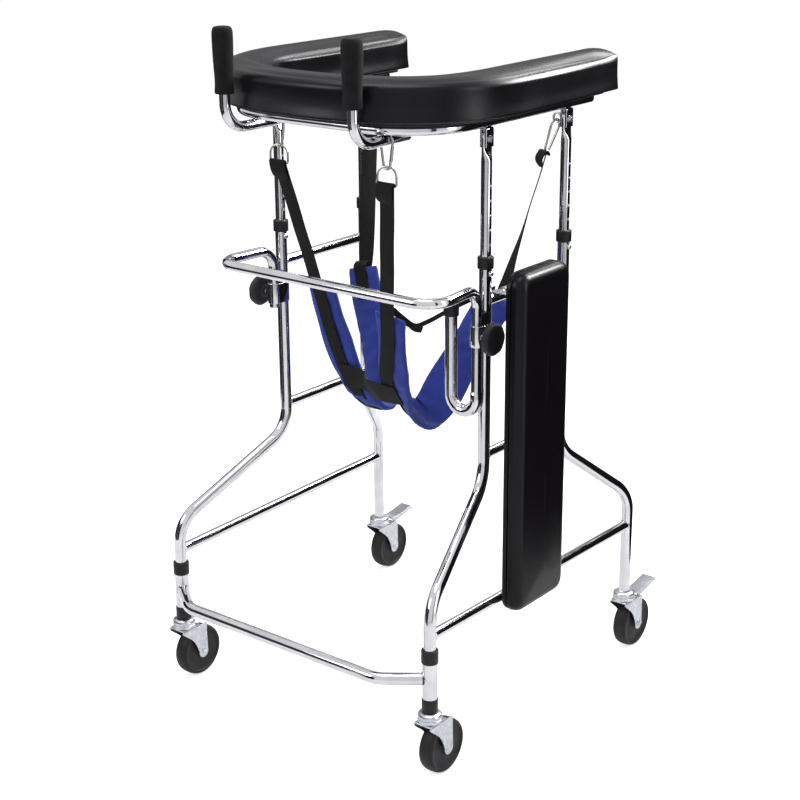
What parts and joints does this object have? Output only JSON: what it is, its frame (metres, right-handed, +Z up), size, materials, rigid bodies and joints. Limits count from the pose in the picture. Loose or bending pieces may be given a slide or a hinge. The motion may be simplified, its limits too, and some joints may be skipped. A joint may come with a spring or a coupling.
{
  "type": "wheeled walking frame",
  "caption": "Wheeled standing and walking frame with U-shaped arm pad on telescoping posts, forearm grips, thigh sling, curved handrail with stick holder, hanging seat board and braked casters.",
  "frame": {"origin": "on the floor below the middle of the walker's outline seen from above", "axes": "+X to the user's right hand as the user walks, -Y the way the user walks, +Y the open side the user steps in from, +Z up"},
  "size_m": [0.6918, 0.7886, 1.264],
  "materials": {
    "chrome_tube": "polished",
    "zinc_steel": "satin",
    "wheel_plastic": "satin",
    "arm_pad_vinyl": "satin",
    "seat_pad_vinyl": "satin",
    "grip_foam": "matte",
    "sling_fabric": "matte",
    "black_webbing": "matte",
    "black_board": "satin",
    "black_plastic": "satin"
  },
  "bodies": {
    "frame": {"side_frame_left": "chrome_tube", "side_frame_right": "chrome_tube", "front_crossbar": "chrome_tube", "sleeve_bush_left": "black_plastic", "sleeve_bush_right": "black_plastic", "post_collar_front_left": "black_plastic", "post_collar_front_right": "black_plastic", "post_collar_rear_left": "black_plastic", "post_collar_rear_right": "black_plastic", "caster_head_front_left": "zinc_steel", "caster_head_front_right": "zinc_steel", "caster_head_rear_left": "zinc_steel", "caster_head_rear_right": "zinc_steel", "clamp_band_left": "chrome_tube", "clamp_band_right": "chrome_tube", "clamp_spacer_left": "black_plastic", "clamp_spacer_right": "black_plastic"},
    "top": {"upper_post_front_left": "chrome_tube", "upper_post_front_right": "chrome_tube", "upper_post_rear_left": "chrome_tube", "upper_post_rear_right": "chrome_tube", "arm_frame": "chrome_tube", "bracket_bolt_front_left": "zinc_steel", "bracket_bolt_front_right": "zinc_steel", "bracket_bolt_rear_left": "zinc_steel", "bracket_bolt_rear_right": "zinc_steel", "arm_board": "black_board", "arm_pad": "arm_pad_vinyl", "grip_tube_left": "chrome_tube", "grip_tube_right": "chrome_tube", "grip_left": "grip_foam", "grip_right": "grip_foam", "carabiner_front_left": "zinc_steel", "carabiner_front_right": "zinc_steel", "carabiner_rear_left": "zinc_steel", "carabiner_rear_right": "zinc_steel", "sling_pad_left": "sling_fabric", "sling_pad_right": "sling_fabric", "sling_webbing": "black_webbing"},
    "handrail": {"handrail": "chrome_tube", "holder_cap": "black_plastic"},
    "seat": {"seat_board": "black_board", "seat_pad": "seat_pad_vinyl", "seat_hooks": "zinc_steel"},
    "pin_front_left": {"height_pin_front_left": "zinc_steel"},
    "pin_front_right": {"height_pin_front_right": "zinc_steel"},
    "pin_rear_left": {"height_pin_rear_left": "zinc_steel"},
    "pin_rear_right": {"height_pin_rear_right": "zinc_steel"},
    "knob_left": {"clamp_knob_left": "black_plastic"},
    "knob_right": {"clamp_knob_right": "black_plastic"},
    "fork_front_left": {"caster_fork_front_left": "zinc_steel"},
    "wheel_front_left": {"wheel_front_left": "wheel_plastic"},
    "fork_front_right": {"caster_fork_front_right": "zinc_steel"},
    "wheel_front_right": {"wheel_front_right": "wheel_plastic"},
    "fork_rear_left": {"caster_fork_rear_left": "zinc_steel"},
    "wheel_rear_left": {"wheel_rear_left": "wheel_plastic"},
    "pedal_rear_left": {"brake_pedal_rear_left": "zinc_steel"},
    "fork_rear_right": {"caster_fork_rear_right": "zinc_steel"},
    "wheel_rear_right": {"wheel_rear_right": "wheel_plastic"},
    "pedal_rear_right": {"brake_pedal_rear_right": "zinc_steel"}
  },
  "joints": [
    {"name": "top_height_slide", "type": "slide", "parent": "frame", "child": "top", "axis": [0, 0, 1], "range_m": [-0.152, 0.0762]},
    {"name": "handrail_height_slide", "type": "slide", "parent": "frame", "child": "handrail", "axis": [0, 0, 1], "range_m": [-0.03, 0.008]},
    {"name": "seat_swing", "type": "hinge", "parent": "frame", "child": "seat", "pos_m": [0.22558, -0.06472, 0.8], "axis": [0, 1, 0], "range_deg": [-35, 0]},
    {"name": "pin_front_left_pull", "type": "slide", "parent": "frame", "child": "pin_front_left", "axis": [1, 0, 0], "range_m": [0, 0.0035], "stiffness_N_per_m": 500},
    {"name": "pin_front_right_pull", "type": "slide", "parent": "frame", "child": "pin_front_right", "axis": [1, 0, 0], "range_m": [0, 0.0035], "stiffness_N_per_m": 500},
    {"name": "pin_rear_left_pull", "type": "slide", "parent": "frame", "child": "pin_rear_left", "axis": [1, 0, 0], "range_m": [0, 0.0035], "stiffness_N_per_m": 500},
    {"name": "pin_rear_right_pull", "type": "slide", "parent": "frame", "child": "pin_rear_right", "axis": [1, 0, 0], "range_m": [0, 0.0035], "stiffness_N_per_m": 500},
    {"name": "knob_left_turn", "type": "hinge", "parent": "frame", "child": "knob_left", "pos_m": [-0.24542, -0.11072, 0.742], "axis": [1, 0, 0], "range_deg": [0, 360]},
    {"name": "knob_right_turn", "type": "hinge", "parent": "frame", "child": "knob_right", "pos_m": [0.22558, -0.11072, 0.742], "axis": [1, 0, 0], "range_deg": [0, 360]},
    {"name": "fork_front_left_swivel", "type": "hinge", "parent": "frame", "child": "fork_front_left", "pos_m": [-0.30842, -0.32872, 0.1115], "axis": [0, 0, 1], "continuous": true},
    {"name": "wheel_front_left_spin", "type": "hinge", "parent": "fork_front_left", "child": "wheel_front_left", "pos_m": [-0.30842, -0.29572, 0.05], "axis": [1, 0, 0], "continuous": true},
    {"name": "fork_front_right_swivel", "type": "hinge", "parent": "frame", "child": "fork_front_right", "pos_m": [0.28858, -0.32872, 0.1115], "axis": [0, 0, 1], "continuous": true},
    {"name": "wheel_front_right_spin", "type": "hinge", "parent": "fork_front_right", "child": "wheel_front_right", "pos_m": [0.28858, -0.29572, 0.05], "axis": [1, 0, 0], "continuous": true},
    {"name": "fork_rear_left_swivel", "type": "hinge", "parent": "frame", "child": "fork_rear_left", "pos_m": [-0.32342, 0.29328, 0.1115], "axis": [0, 0, 1], "continuous": true},
    {"name": "wheel_rear_left_spin", "type": "hinge", "parent": "fork_rear_left", "child": "wheel_rear_left", "pos_m": [-0.32342, 0.32628, 0.05], "axis": [1, 0, 0], "continuous": true},
    {"name": "pedal_rear_left_press", "type": "hinge", "parent": "fork_rear_left", "child": "pedal_rear_left", "pos_m": [-0.32342, 0.33028, 0.105], "axis": [1, 0, 0], "range_deg": [-12, 0]},
    {"name": "fork_rear_right_swivel", "type": "hinge", "parent": "frame", "child": "fork_rear_right", "pos_m": [0.30358, 0.29328, 0.1115], "axis": [0, 0, 1], "continuous": true},
    {"name": "wheel_rear_right_spin", "type": "hinge", "parent": "fork_rear_right", "child": "wheel_rear_right", "pos_m": [0.30358, 0.32628, 0.05], "axis": [1, 0, 0], "continuous": true},
    {"name": "pedal_rear_right_press", "type": "hinge", "parent": "fork_rear_right", "child": "pedal_rear_right", "pos_m": [0.30358, 0.33028, 0.105], "axis": [1, 0, 0], "range_deg": [-12, 0]}
  ]
}
